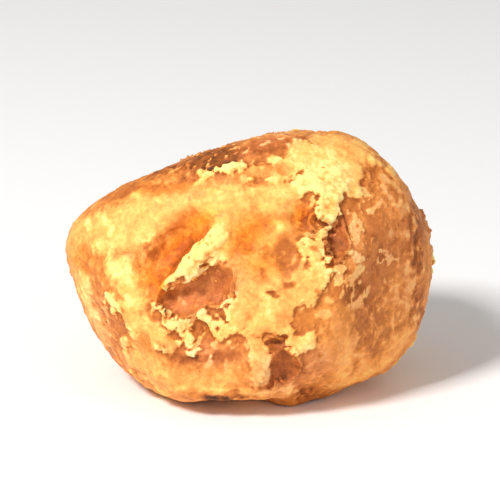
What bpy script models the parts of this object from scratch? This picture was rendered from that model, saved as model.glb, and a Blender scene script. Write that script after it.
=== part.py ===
"""A jaggery lump: one small uneven block of set cane sugar, in metres, +Z up, standing on its underside.

The lump was poured, broken off and tumbled. It is a rounded block whose flats lean all ways, with smooth
hollows where it was pressed while warm, low swells between them, and angular chips where bits broke off.
The origin is at the middle of its box, on the underside. -Y is its broad front, and +X is its right.
"""

import math

import bmesh
import bpy
from mathutils import Vector, noise

# Driving dimensions, in metres.
WIDTH = 0.032  # left to right
DEPTH = 0.0270  # front to back
HEIGHT = 0.0232  # underside to crown
MM = 0.001

# The block before it is dented. Its flats are given in millimetres from the middle.
GRID_CUTS = 15  # cuts along each side of the starting cube
FRONT_CUTS = 2  # more cuts between those on the front, where the small dents are
EDGE_SHARPNESS = 15.0  # higher gives tighter edges where two flats meet
CREASE = 32.0  # degrees between two faces from which their edge is shaded sharp
LARGE_WAVE, LARGE_WAVE_HEIGHT = 8.0 * MM, 0.55 * MM
SMALL_WAVE, SMALL_WAVE_HEIGHT = 2.6 * MM, 0.16 * MM
FOOT_CUT = 0.55 * MM  # how much of the round underside is worn flat
TOUCHING = 0.0001 * MM  # heights nearer than this are level

# name: azimuth from the front towards +X, elevation, distance from the middle in mm
FLATS = {
    "front": (-6, 10, 12.9),
    "front_right": (44, -3, 15.0),
    "front_upper_right": (20, 42, 13.4),
    "front_upper_left": (-44, 38, 13.9),
    "front_lower_left": (-58, -20, 15.6),
    "front_lower": (-22, -46, 17.4),
    "front_lower_right": (22, -38, 15.6),
    "right": (87, -11, 16.4),
    "right_upper": (98, 29, 14.7),
    "right_underside": (68, -50, 16.6),
    "left": (-94, -9, 16.2),
    "left_upper": (-104, 38, 13.7),
    "left_lower": (-76, -34, 16.2),
    "left_underside": (-60, -62, 16.6),
    "crown": (-124, 64, 9.6),
    "crown_corner": (114, 54, 14.2),
    "crown_right": (163, 76, 11.2),
    "underside": (0, -90, 11.5),
    "back": (178, 4, 12.9),
    "back_upper": (172, 44, 13.2),
    "back_left": (-140, -6, 15.0),
    "back_right": (132, -4, 14.8),
    "back_lower": (186, -42, 13.6),
    "back_lower_left": (-130, -44, 14.4),
    "back_lower_right": (128, -40, 14.4),
}

# Smooth hollows, and swells where the depth is negative.
# name: azimuth, elevation, half width, half height and depth in mm, roll of the width in degrees
HOLLOWS = {
    "thumb_dent": (-40, 14, 4.6, 3.4, 0.7, 30),
    "thumb_valley": (-31, 15, 4.4, 1.7, 1.5, 56),
    "valley_lip": (-21, 14, 3.8, 1.4, -1.0, 52),
    "front_swell": (4, 6, 5.6, 4.4, -1.0, -20),
    "glow_hollow": (1, 23, 2.4, 2.0, 0.5, 20),
    "upper_right_swell": (32, 38, 4.2, 3.2, -0.7, 0),
    "bare_hollow": (12, 12, 1.7, 1.7, 0.5, 0),
    "small_dimple": (20, 29, 1.1, 1.7, 0.9, 10),
    "olive_hollow": (-19, -15, 1.9, 1.5, 0.7, -20),
    "lower_front_hollow": (-17, -27, 4.2, 1.8, 0.4, -8),
    "right_face_hollow": (44, -4, 3.4, 4.8, 0.4, -10),
    "foot_recess": (-7, -46, 3.4, 2.0, 1.5, 0),
    "foot_notch": (6, -49, 2.0, 1.8, 1.1, 0),
    "foot_bump": (19, -51, 2.4, 1.9, -0.9, 0),
    "crest_saddle": (-28, 42, 4.0, 2.2, 0.4, 0),
    "crown_saddle": (-118, 72, 5.0, 3.4, 0.6, 10),
    "crown_pit": (120, 62, 2.4, 1.8, 0.7, 30),
    "right_hollow": (92, -8, 4.2, 3.4, 0.7, 15),
    "left_hollow": (-106, 12, 3.4, 4.4, 0.8, -20),
    "back_dent": (168, 8, 4.6, 3.4, 1.5, -30),
    "back_swell": (200, -16, 4.4, 3.2, -0.7, 10),
    "back_right_dent": (128, 18, 2.6, 3.2, 0.9, 20),
    "back_left_dent": (-136, 28, 3.0, 2.2, 0.9, 40),
}

# Chips broken out of the surface.
# name: azimuth, elevation, width, height and depth in mm, roll of the width in degrees, seed of the shape
CHIPS = {
    "main_chip": (-15, 3, 4.6, 4.0, 1.2, 30, 3),
    "main_chip_middle": (-20, 0, 4.2, 3.2, 1.1, 10, 21),
    "main_chip_tail": (-25, -3, 4.2, 2.9, 1.0, 12, 5),
    "slot_chip": (31, 19, 2.1, 4.2, 1.3, -16, 8),
    "slot_tail": (27, 25, 1.5, 2.0, 0.9, 30, 2),
    "lower_chip": (10, -24, 3.4, 3.4, 1.3, 24, 11),
    "lower_chip_tail": (7, -29, 2.8, 1.7, 1.0, 30, 6),
    "little_chip": (8, -17, 1.7, 1.3, 0.8, 0, 4),
    "crown_chip": (-100, 58, 3.4, 2.4, 0.9, 30, 9),
    "crown_chip_tail": (-86, 60, 2.4, 2.0, 0.8, -20, 19),
    "crown_back_chip": (150, 66, 3.2, 2.0, 0.9, -40, 14),
    "right_chip": (96, 6, 2.8, 3.6, 1.0, 10, 7),
    "right_chip_tail": (90, -3, 2.4, 2.4, 0.8, -30, 22),
    "left_chip": (-104, 2, 2.6, 3.8, 1.0, -16, 12),
    "left_chip_tail": (-98, -8, 2.6, 2.0, 0.8, 30, 23),
    "back_chip": (172, 4, 4.8, 3.2, 1.3, -22, 16),
    "back_chip_tail": (182, 9, 3.4, 2.4, 0.9, 30, 24),
    "back_low_chip": (194, -30, 3.0, 2.2, 0.9, 12, 15),
    "back_high_chip": (204, 30, 2.2, 3.0, 0.9, 34, 17),
}

CHIP_ROUGHNESS = 0.55  # how far from round a chip is

BODY_COLOUR = (0.55, 0.235, 0.075, 1.0)
BODY_ROUGHNESS = 0.55


def direction(azimuth, elevation):
    """The unit vector that points from the middle towards this azimuth and elevation, in degrees."""
    a, e = math.radians(azimuth), math.radians(elevation)
    return Vector((math.sin(a) * math.cos(e), -math.cos(a) * math.cos(e), math.sin(e)))


def block_point(towards):
    """The point of the plain block in this direction: where a soft blend of all its flats lies."""
    total = 0.0
    for azimuth, elevation, distance in FLATS.values():
        facing = towards.dot(direction(azimuth, elevation))
        if facing > 0:
            total += (facing / (distance * MM)) ** EDGE_SHARPNESS
    return towards * total ** (-1 / EDGE_SHARPNESS)


def surface_axes(towards, roll):
    """Two unit vectors along the surface there: the width's and the height's, turned by roll degrees."""
    across = Vector((0, 0, 1)).cross(towards).normalized()
    along = towards.cross(across)
    turn = math.radians(roll)
    return (
        across * math.cos(turn) + along * math.sin(turn),
        along * math.cos(turn) - across * math.sin(turn),
    )


def dented(point):
    """point moved in or out by the hollows and swells that reach it."""
    moved = point.copy()
    for azimuth, elevation, half_width, half_height, depth, roll in HOLLOWS.values():
        towards = direction(azimuth, elevation)
        if towards.dot(point) <= 0:
            continue
        width_axis, height_axis = surface_axes(towards, roll)
        offset = point - block_point(towards)
        reach = math.hypot(
            offset.dot(width_axis) / (half_width * MM),
            offset.dot(height_axis) / (half_height * MM),
        )
        if reach < 1.5:
            moved -= towards * depth * MM * math.exp(-2.2 * reach**3)
    return moved


def uneven(point):
    """point moved along its ray by two sizes of wave, because no part of a lump is true."""
    towards = point.normalized()
    large = noise.fractal(point / LARGE_WAVE, 1.0, 2.0, 2)
    small = noise.fractal(point / SMALL_WAVE, 1.0, 2.0, 3)
    return point + towards * (large * LARGE_WAVE_HEIGHT + small * SMALL_WAVE_HEIGHT)


def make_block():
    """The lump's block with its hollows, from a cube cut into a grid and blown out onto the flats."""
    shape = bmesh.new()
    bmesh.ops.create_cube(shape, size=2.0)
    bmesh.ops.subdivide_edges(shape, edges=shape.edges[:], cuts=GRID_CUTS, use_grid_fill=True)
    front = {edge for face in shape.faces if face.normal.y < -0.9 for edge in face.edges}
    bmesh.ops.subdivide_edges(shape, edges=list(front), cuts=FRONT_CUTS, use_grid_fill=True)
    for vertex in shape.verts:
        evened = Vector(math.tan(part * math.pi / 4) for part in vertex.co)
        vertex.co = uneven(dented(block_point(evened.normalized())))
    return shape


def worn_flat(shape):
    """Presses the round underside level, and joins what is level into one face to stand on."""
    level = min(vertex.co.z for vertex in shape.verts) + FOOT_CUT
    for vertex in shape.verts:
        vertex.co.z = max(vertex.co.z, level)
    worn = [
        face for face in shape.faces if all(vertex.co.z - level < TOUCHING for vertex in face.verts)
    ]
    bmesh.ops.dissolve_faces(shape, faces=worn, use_verts=True)


def fitted(shape):
    """Sizes the block to the driving dimensions and stands it on the origin, by the middle of its box.

    Returns the move and the scale, so that the chips land where the block went.
    """
    spans = []
    for axis in range(3):
        values = [vertex.co[axis] for vertex in shape.verts]
        spans.append((min(values), max(values)))
    sizes = Vector((WIDTH, DEPTH, HEIGHT))
    scale = Vector(size / (high - low) for size, (low, high) in zip(sizes, spans))
    middle = Vector((low + high) / 2 for low, high in spans)
    middle.z = spans[2][0]
    for vertex in shape.verts:
        vertex.co = (vertex.co - middle) * scale
    return middle, scale


def link(name, shape):
    """Puts a finished bmesh into the scene as an object."""
    mesh = bpy.data.meshes.new(name)
    shape.to_mesh(mesh)
    shape.free()
    made = bpy.data.objects.new(name, mesh)
    bpy.context.scene.collection.objects.link(made)
    return made


def cut_chip(lump, name, chip, middle, scale):
    """Breaks one chip out of the lump with an angular stone-like cutter, by a Boolean."""
    azimuth, elevation, width, height, depth, roll, seed = chip
    towards = direction(azimuth, elevation)
    shape = bmesh.new()
    bmesh.ops.create_icosphere(shape, subdivisions=2, radius=1.0)
    for vertex in shape.verts:
        vertex.co *= 1.0 + CHIP_ROUGHNESS * noise.noise(vertex.co * 1.9 + Vector((seed, 0, 0)))
    cutter = link(name, shape)
    width_axis, height_axis = surface_axes(towards, roll)
    place = uneven(dented(block_point(towards)))
    cutter.location = (place - middle) * scale
    turned = cutter.matrix_basis.to_3x3()
    turned.col[0], turned.col[1], turned.col[2] = width_axis, height_axis, towards
    cutter.rotation_euler = turned.to_euler()
    cutter.scale = Vector((width / 2, height / 2, depth)) * MM
    cutter.hide_render = True
    cutter.display_type = "WIRE"
    cut = lump.modifiers.new(name, "BOOLEAN")
    cut.operation = "DIFFERENCE"
    cut.object = cutter


def jaggery_material():
    """Set cane sugar: a waxy amber brown, neither shiny nor metallic."""
    material = bpy.data.materials.new("jaggery")
    material.use_nodes = True
    shader = material.node_tree.nodes["Principled BSDF"]
    shader.inputs["Base Color"].default_value = BODY_COLOUR
    shader.inputs["Roughness"].default_value = BODY_ROUGHNESS
    shader.inputs["Metallic"].default_value = 0.0
    return material


def main():
    for old in list(bpy.data.objects):
        bpy.data.objects.remove(old)
    shape = make_block()
    worn_flat(shape)
    middle, scale = fitted(shape)
    lump = link("jaggery_lump", shape)
    lump.data.shade_smooth()
    lump.data.set_sharp_from_angle(angle=math.radians(CREASE))
    for name, chip in CHIPS.items():
        cut_chip(lump, name, chip, middle, scale)
    lump.data.materials.append(jaggery_material())


main()
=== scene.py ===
"""Dresses the jaggery lump: its waxy amber body, the pale crust of dry sugar on it, its crumbs, and a studio.

The lump's form is the CAD solid's. The skin is that solid meshed finely, then lowered wherever there is no crust,
so that the crust stands at the solid's own surface with a ragged broken edge. The crust of the front is painted
with strokes, and the other sides get patches of the same kind.
"""

import math

import bmesh
import bpy
import numpy as np
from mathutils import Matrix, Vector, noise
from mathutils.bvhtree import BVHTree
from mathutils.kdtree import KDTree


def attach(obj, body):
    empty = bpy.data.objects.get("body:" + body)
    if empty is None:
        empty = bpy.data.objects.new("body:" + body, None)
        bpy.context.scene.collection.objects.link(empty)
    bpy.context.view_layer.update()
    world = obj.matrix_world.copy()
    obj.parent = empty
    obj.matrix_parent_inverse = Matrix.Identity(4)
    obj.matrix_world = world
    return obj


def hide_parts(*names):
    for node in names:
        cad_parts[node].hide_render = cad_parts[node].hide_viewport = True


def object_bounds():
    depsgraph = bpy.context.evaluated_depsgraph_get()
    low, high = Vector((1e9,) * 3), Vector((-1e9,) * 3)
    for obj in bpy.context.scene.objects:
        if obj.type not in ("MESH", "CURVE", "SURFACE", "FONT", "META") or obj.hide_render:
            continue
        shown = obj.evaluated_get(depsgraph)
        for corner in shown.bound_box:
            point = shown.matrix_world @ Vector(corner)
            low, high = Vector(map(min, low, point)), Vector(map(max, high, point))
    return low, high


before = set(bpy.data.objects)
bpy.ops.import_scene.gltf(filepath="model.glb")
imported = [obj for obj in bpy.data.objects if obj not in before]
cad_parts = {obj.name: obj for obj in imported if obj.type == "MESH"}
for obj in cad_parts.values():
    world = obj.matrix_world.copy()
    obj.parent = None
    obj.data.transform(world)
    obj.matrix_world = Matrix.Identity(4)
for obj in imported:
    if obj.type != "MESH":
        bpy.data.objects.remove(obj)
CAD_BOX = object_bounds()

bl_info = {
    "name": "Jaggery Lump",
    "version": (1, 0, 0),
    "blender": (4, 5, 0),
    "location": "3D View > Sidebar > Jaggery",
    "description": "Dresses a lump of jaggery with its crust and crumbs, and sets it in a studio",
    "category": "Object",
}

NODE = "jaggery_lump"
MM = 0.001
MOST_TRIANGLES = 200_000  # of one piece

# A stencil held against the front leans back by this much. Across and up on it are in millimetres, and both are
# 0 at the frame's origin.
STENCIL_LEAN = math.radians(17)

# The skin that is left on the front. name: across and up of both ends, and half width, all in mm, then how dry
# it is, from 0 for smooth moist skin to 1 for thick crust, and its tone, from 0 for the darkest brown to 1 for
# cream
SKIN_STROKES = {
    "cheek": (-11.8, 12.4, -6.6, 14.2, 2.1, 0.25, 0.73),
    "cheek_left": (-14.2, 12.2, -12.6, 12.6, 1.6, 0.30, 0.71),
    "left_end": (-15.2, 9.8, -15.0, 12.0, 1.0, 0.20, 0.61),
    "cheek_low": (-10.9, 9.2, -9.7, 6.6, 1.25, 0.40, 0.79),
    "under_rim": (-10.6, 15.0, -3.6, 15.7, 0.7, 0.20, 0.62),
    "valley": (-7.8, 8.2, -3.9, 13.1, 1.2, 0.02, 0.57),
    "under_crest": (-4.0, 14.6, 2.8, 15.2, 1.3, 0.35, 0.78),
    "middle": (-1.6, 12.4, 2.0, 12.8, 1.9, 0.22, 0.67),
    "middle_low": (-0.6, 9.6, 1.6, 8.8, 1.4, 0.30, 0.67),
    "middle_right": (3.2, 8.4, 4.4, 8.0, 1.0, 0.40, 0.78),
    "lip": (-4.9, 9.4, -2.6, 11.7, 1.10, 1.0, 0.97),
    "lip_top": (-2.7, 11.7, -2.2, 12.9, 0.6, 0.70, 0.93),
    "lip_tip": (-6.7, 7.9, -5.8, 8.7, 0.6, 1.0, 0.97),
    "lip_back": (-3.0, 10.4, -1.9, 10.8, 0.8, 0.60, 0.90),
    "mass": (-0.7, 5.3, 2.6, 5.9, 1.5, 0.55, 0.78),
    "mass_tip": (-1.7, 6.4, -1.2, 6.0, 0.5, 0.80, 0.86),
    "mass_spike": (-4.2, 5.0, -2.4, 4.8, 0.28, 0.75, 0.90),
    "mass_side": (-2.5, 4.7, -1.7, 6.5, 0.5, 0.75, 0.90),
    "mass_toe": (-2.1, 3.9, -1.5, 4.3, 0.6, 0.65, 0.84),
    "mass_toe_middle": (0.5, 3.3, 1.0, 2.9, 0.45, 0.60, 0.80),
    "mass_foot": (-0.7, 4.3, 3.6, 3.9, 0.6, 0.65, 0.77),
    "mass_pale": (1.4, 5.6, 1.6, 7.2, 0.8, 0.75, 0.93),
    "mass_top": (-0.2, 7.6, 2.2, 7.6, 0.9, 0.40, 0.64),
    "mass_right": (3.4, 6.8, 4.4, 7.4, 1.1, 0.50, 0.67),
    "column": (5.3, 10.4, 5.5, 8.2, 1.0, 0.65, 0.84),
    "column_foot": (5.4, 8.2, 4.2, 6.6, 1.0, 0.60, 0.82),
    "column_edge": (6.3, 10.3, 6.6, 9.0, 0.35, 0.90, 0.93),
    "column_top": (4.7, 11.0, 6.0, 10.7, 0.4, 0.80, 0.90),
    "column_bridge": (5.9, 12.7, 5.7, 11.3, 0.55, 0.70, 0.80),
    "shoulder": (4.9, 16.7, 7.2, 16.7, 1.7, 0.75, 0.93),
    "shoulder_high": (4.4, 18.3, 6.6, 18.5, 1.5, 0.50, 0.90),
    "shoulder_foot": (6.3, 13.4, 6.9, 15.0, 1.05, 0.90, 0.88),
    "shoulder_left": (3.0, 15.6, 3.9, 15.9, 0.8, 0.50, 0.90),
    "shoulder_right": (8.2, 16.2, 8.4, 18.2, 1.2, 0.50, 0.84),
    "shoulder_top": (7.4, 19.6, 9.4, 18.6, 0.9, 0.42, 0.74),
    "shoulder_skirt": (2.2, 14.2, 3.2, 14.0, 0.9, 0.40, 0.82),
    "crest_upper": (-3.8, 17.1, 2.4, 18.3, 0.25, 0.68, 0.92),
    "crest_lower": (0.0, 16.5, 2.8, 16.7, 0.28, 0.62, 0.94),
    "crest_between": (0.5, 17.4, 3.4, 17.6, 0.6, 0.30, 0.60),
    "crest_left": (-4.4, 16.3, -3.2, 17.0, 0.3, 0.62, 0.90),
    # A thin strip of skin along the crest, toned as a painted highlight
    "crest_painted_highlight_line": (-9.0, 16.4, -6.3, 16.7, 0.08, 0.40, 0.60),
    "right_rim": (9.5, 18.8, 12.6, 17.2, 0.25, 0.50, 0.84),
    "right_rim_low": (12.6, 17.2, 13.7, 15.5, 0.2, 0.40, 0.70),
    "tip": (3.6, 3.3, 5.3, 3.0, 0.6, 0.60, 0.80),
    "strip": (1.9, 2.2, 4.5, 2.1, 0.25, 0.70, 0.80),
    "strip_left": (0.9, 2.4, 1.2, 3.0, 0.5, 0.50, 0.80),
    "chip_bank": (0.8, 2.6, 0.7, 0.0, 0.9, 0.55, 0.76),
    "foot": (-3.9, -0.9, 3.4, -1.3, 0.4, 0.50, 0.76),
    "low_left": (-9.4, 1.2, -5.8, -0.9, 1.2, 0.30, 0.67),
    "low_middle": (-5.4, -0.4, -0.8, -0.3, 0.7, 0.25, 0.64),
    "left_rim": (-14.4, 8.6, -13.4, 5.2, 0.55, 0.45, 0.88),
    "left_rim_low": (-13.4, 5.2, -12.5, 2.4, 0.4, 0.40, 0.84),
    "left_fold": (-11.9, 6.9, -10.5, 4.6, 0.25, 0.62, 0.93),
    "left_fold_low": (-10.5, 4.6, -9.8, 3.4, 0.22, 0.58, 0.86),
    "low_fold": (-10.8, 2.8, -10.1, 0.5, 0.25, 0.55, 0.86),
    "low_fold_end": (-10.1, 0.5, -7.2, -1.7, 0.25, 0.50, 0.84),
    "left_cheek_low": (-9.9, 5.0, -8.9, 4.2, 0.8, 0.40, 0.76),
    "shred_start": (-7.9, 5.9, -6.7, 5.0, 0.5, 0.75, 0.84),
    "shred": (-6.4, 4.7, -5.5, 3.6, 0.72, 0.80, 0.92),
    "shred_left": (-7.7, 4.3, -6.5, 4.0, 0.45, 0.60, 0.82),
    "shred_end": (-5.5, 3.6, -4.7, 2.4, 0.42, 0.80, 0.90),
    "shred_fleck": (-7.9, 2.7, -7.2, 2.3, 0.2, 0.80, 0.90),
    "shred_dot": (-7.8, 3.4, -7.6, 3.3, 0.3, 0.70, 0.86),
    "shred_ground": (-8.8, 4.2, -6.6, 3.0, 0.7, 0.35, 0.66),
    "strand": (-4.4, 5.2, -3.4, 4.9, 0.28, 0.75, 0.88),
    "low_right": (6.6, 2.6, 7.2, 0.6, 0.8, 0.15, 0.56),
    "low_right_rim": (8.2, -0.4, 11.4, 0.6, 0.5, 0.35, 0.75),
    "right_end_rim": (11.4, 0.8, 13.6, 3.6, 0.55, 0.40, 0.66),
    "bottom_rim": (-6.8, -2.2, -4.4, -2.4, 0.35, 0.30, 0.68),
    "foot_rim": (0.8, -1.8, 3.0, -1.8, 0.3, 0.30, 0.60),
}

# Softer tints in that skin, each painted over those before it, some of them painted shade, shadow, light or
# highlight, as noted. name: across and up of both ends, half width and softness, all in mm, then tone
SKIN_TINTS = {
    "under_rim_orange": (-9.0, 15.9, -5.0, 16.1, 0.45, 0.3, 0.50),
    # Painted shadow on the top left rim, as cast by a lump lying above
    "rim_painted_shadow": (-12.2, 15.2, -9.8, 16.0, 0.45, 0.3, 0.22),
    "rim_fleck": (-9.8, 15.6, -9.4, 15.3, 0.25, 0.2, 0.88),
    "rim_fleck_right": (-7.9, 15.0, -7.6, 14.9, 0.2, 0.2, 0.88),
    "cheek_fleck": (-13.8, 13.2, -13.6, 12.6, 0.3, 0.25, 0.94),
    "cheek_fleck_high": (-12.9, 13.9, -12.2, 13.1, 0.3, 0.25, 0.94),
    "cheek_mottle": (-12.6, 12.3, -12.6, 11.9, 0.4, 0.3, 0.68),
    "cheek_streak": (-11.7, 12.6, -11.7, 12.1, 0.25, 0.2, 0.92),
    "cheek_edge": (-13.3, 11.1, -13.4, 9.7, 0.2, 0.2, 0.93),
    "cheek_cross": (-13.0, 11.2, -11.5, 11.3, 0.25, 0.25, 0.90),
    "cheek_bright": (-11.4, 10.2, -10.5, 8.8, 0.6, 0.5, 0.93),
    "cheek_bright_low": (-10.0, 8.6, -10.0, 8.0, 0.5, 0.4, 0.90),
    "cheek_gold": (-10.4, 7.4, -10.2, 7.2, 0.4, 0.3, 0.70),
    "cheek_foot": (-10.4, 6.6, -9.5, 6.3, 0.5, 0.3, 0.95),
    "cheek_tail": (-8.8, 5.2, -8.8, 4.2, 0.25, 0.2, 0.86),
    "left_orange": (-14.1, 10.6, -13.9, 10.2, 0.5, 0.4, 0.54),
    "left_orange_low": (-14.9, 9.6, -12.6, 8.9, 0.5, 0.5, 0.61),
    "valley_side": (-7.1, 9.8, -5.9, 12.2, 0.8, 0.7, 0.60),
    "valley_deep": (-7.1, 8.8, -6.0, 10.8, 0.6, 0.6, 0.41),
    "valley_foot": (-8.1, 7.6, -7.6, 8.6, 0.7, 0.5, 0.44),
    # Painted light on the valley's left wall, which faces away from the lamp
    "cheek_inner_painted_light": (-9.3, 9.0, -8.3, 11.2, 0.7, 0.5, 0.97),
    # These two are painted shade in the crevice along the foot of the lip
    "valley_crevice_shade": (-6.7, 9.0, -5.9, 10.4, 0.35, 0.3, 0.24),
    "valley_crevice_shade_high": (-5.6, 10.9, -3.8, 12.5, 0.28, 0.25, 0.30),
    "lip_edge": (-5.1, 9.6, -2.9, 11.9, 0.80, 0.12, 0.97),
    "lip_edge_low": (-6.6, 8.0, -5.3, 9.4, 0.42, 0.12, 0.97),
    "lip_gold": (-4.3, 9.5, -3.0, 10.7, 0.4, 0.35, 0.84),
    "middle_glow": (-0.8, 10.8, 1.0, 12.6, 0.9, 0.6, 0.51),
    "middle_glow_low": (1.0, 11.5, 1.4, 10.3, 0.6, 0.5, 0.59),
    # These two are cream crust painted lighter still, a painted light lifting the dimple's rim out of its shade
    "dimple_top": (4.1, 15.3, 5.8, 15.0, 0.7, 0.3, 0.95),
    "dimple_side": (5.9, 14.6, 5.7, 12.8, 0.5, 0.25, 0.95),
    "dimple_left": (2.4, 13.5, 3.0, 13.5, 0.35, 0.25, 0.58),
    "middle_tan": (2.6, 11.8, 3.4, 12.2, 0.4, 0.3, 0.66),
    "middle_pale": (2.5, 12.8, 2.7, 12.6, 0.3, 0.25, 0.86),
    "patch_edge": (2.9, 10.9, 3.3, 9.8, 0.95, 0.4, 0.25),
    "column_pinhole": (5.6, 7.4, 5.8, 7.2, 0.18, 0.12, 0.40),
    "column_pinhole_high": (5.2, 11.0, 5.4, 10.8, 0.2, 0.12, 0.42),
    "column_gold": (5.0, 9.0, 5.3, 8.0, 0.3, 0.3, 0.74),
    "column_hollow": (4.3, 9.6, 4.3, 9.4, 0.4, 0.4, 0.74),
    "pinhole": (1.1, 9.1, 1.2, 8.5, 0.25, 0.2, 0.42),
    "pinhole_high": (3.0, 8.7, 3.1, 8.5, 0.28, 0.15, 0.36),
    "pinhole_low": (3.1, 7.8, 3.5, 7.8, 0.30, 0.12, 0.26),
    "pinhole_left": (0.5, 8.1, 0.8, 7.9, 0.28, 0.2, 0.52),
    "middle_fleck": (2.1, 8.3, 2.4, 8.1, 0.25, 0.2, 0.88),
    "crest_orange": (-0.5, 16.1, 3.2, 16.1, 0.25, 0.3, 0.67),
    "crest_hole": (0.2, 17.0, 0.4, 17.0, 0.2, 0.15, 0.55),
    "crest_hole_middle": (1.4, 17.5, 1.4, 17.4, 0.15, 0.15, 0.55),
    "crest_hole_right": (2.4, 17.3, 2.8, 17.2, 0.25, 0.15, 0.55),
    # These two are the shoulder's cream crust with a painted highlight on it
    "shoulder_crust_and_highlight": (5.4, 17.4, 4.4, 16.0, 0.7, 0.5, 1.0),
    "shoulder_crust_and_highlight_right": (7.0, 17.2, 7.6, 16.5, 0.5, 0.4, 0.98),
    "shoulder_orange": (7.8, 19.4, 8.8, 18.6, 0.6, 0.5, 0.70),
    "shoulder_edge_orange": (9.4, 17.2, 9.2, 16.6, 0.4, 0.3, 0.70),
    "shoulder_dot": (6.6, 14.5, 6.8, 14.5, 0.2, 0.15, 0.60),
    "mass_orange": (-0.4, 4.6, 0.3, 6.8, 0.5, 0.5, 0.63),
    "mass_orange_right": (2.6, 4.6, 2.9, 6.2, 0.4, 0.4, 0.64),
    "mass_edge": (-1.6, 6.9, -2.3, 4.6, 0.25, 0.2, 0.95),
    "mass_hole": (-0.2, 5.4, 0.0, 5.2, 0.15, 0.12, 0.50),
    "mass_foot_orange": (-0.4, 3.4, 1.2, 3.8, 0.4, 0.3, 0.66),
    "shred_dot_orange": (-6.1, 3.7, -6.0, 3.7, 0.12, 0.1, 0.58),
    "low_right_pale": (8.3, 2.6, 8.3, 0.3, 0.6, 0.4, 0.74),
    "low_left_tan": (-9.0, 2.4, -8.4, 1.6, 0.5, 0.4, 0.56),
    "low_left_brown": (-8.8, 2.7, -8.5, 2.5, 0.3, 0.25, 0.46),
    "low_left_fleck": (-7.9, 0.4, -7.1, 0.3, 0.22, 0.2, 0.82),
    # These two are painted highlights, along the bottom and along the rim of its recess
    "bottom_painted_highlight": (-6.0, -0.9, -4.2, -0.6, 0.2, 0.2, 0.80),
    "recess_rim_painted_highlight": (-3.9, -0.8, -0.4, -1.2, 0.2, 0.15, 0.84),
    "bottom_shade": (-5.6, -1.6, -4.9, -1.9, 0.35, 0.3, 0.48),
    "bank_olive": (-0.9, 0.2, -0.4, -0.3, 0.4, 0.3, 0.50),
    "bank_bright": (-0.8, 1.0, -0.4, 0.8, 0.35, 0.3, 0.82),
    "foot_olive": (0.8, -1.9, 3.0, -1.9, 0.2, 0.2, 0.58),
}
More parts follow.
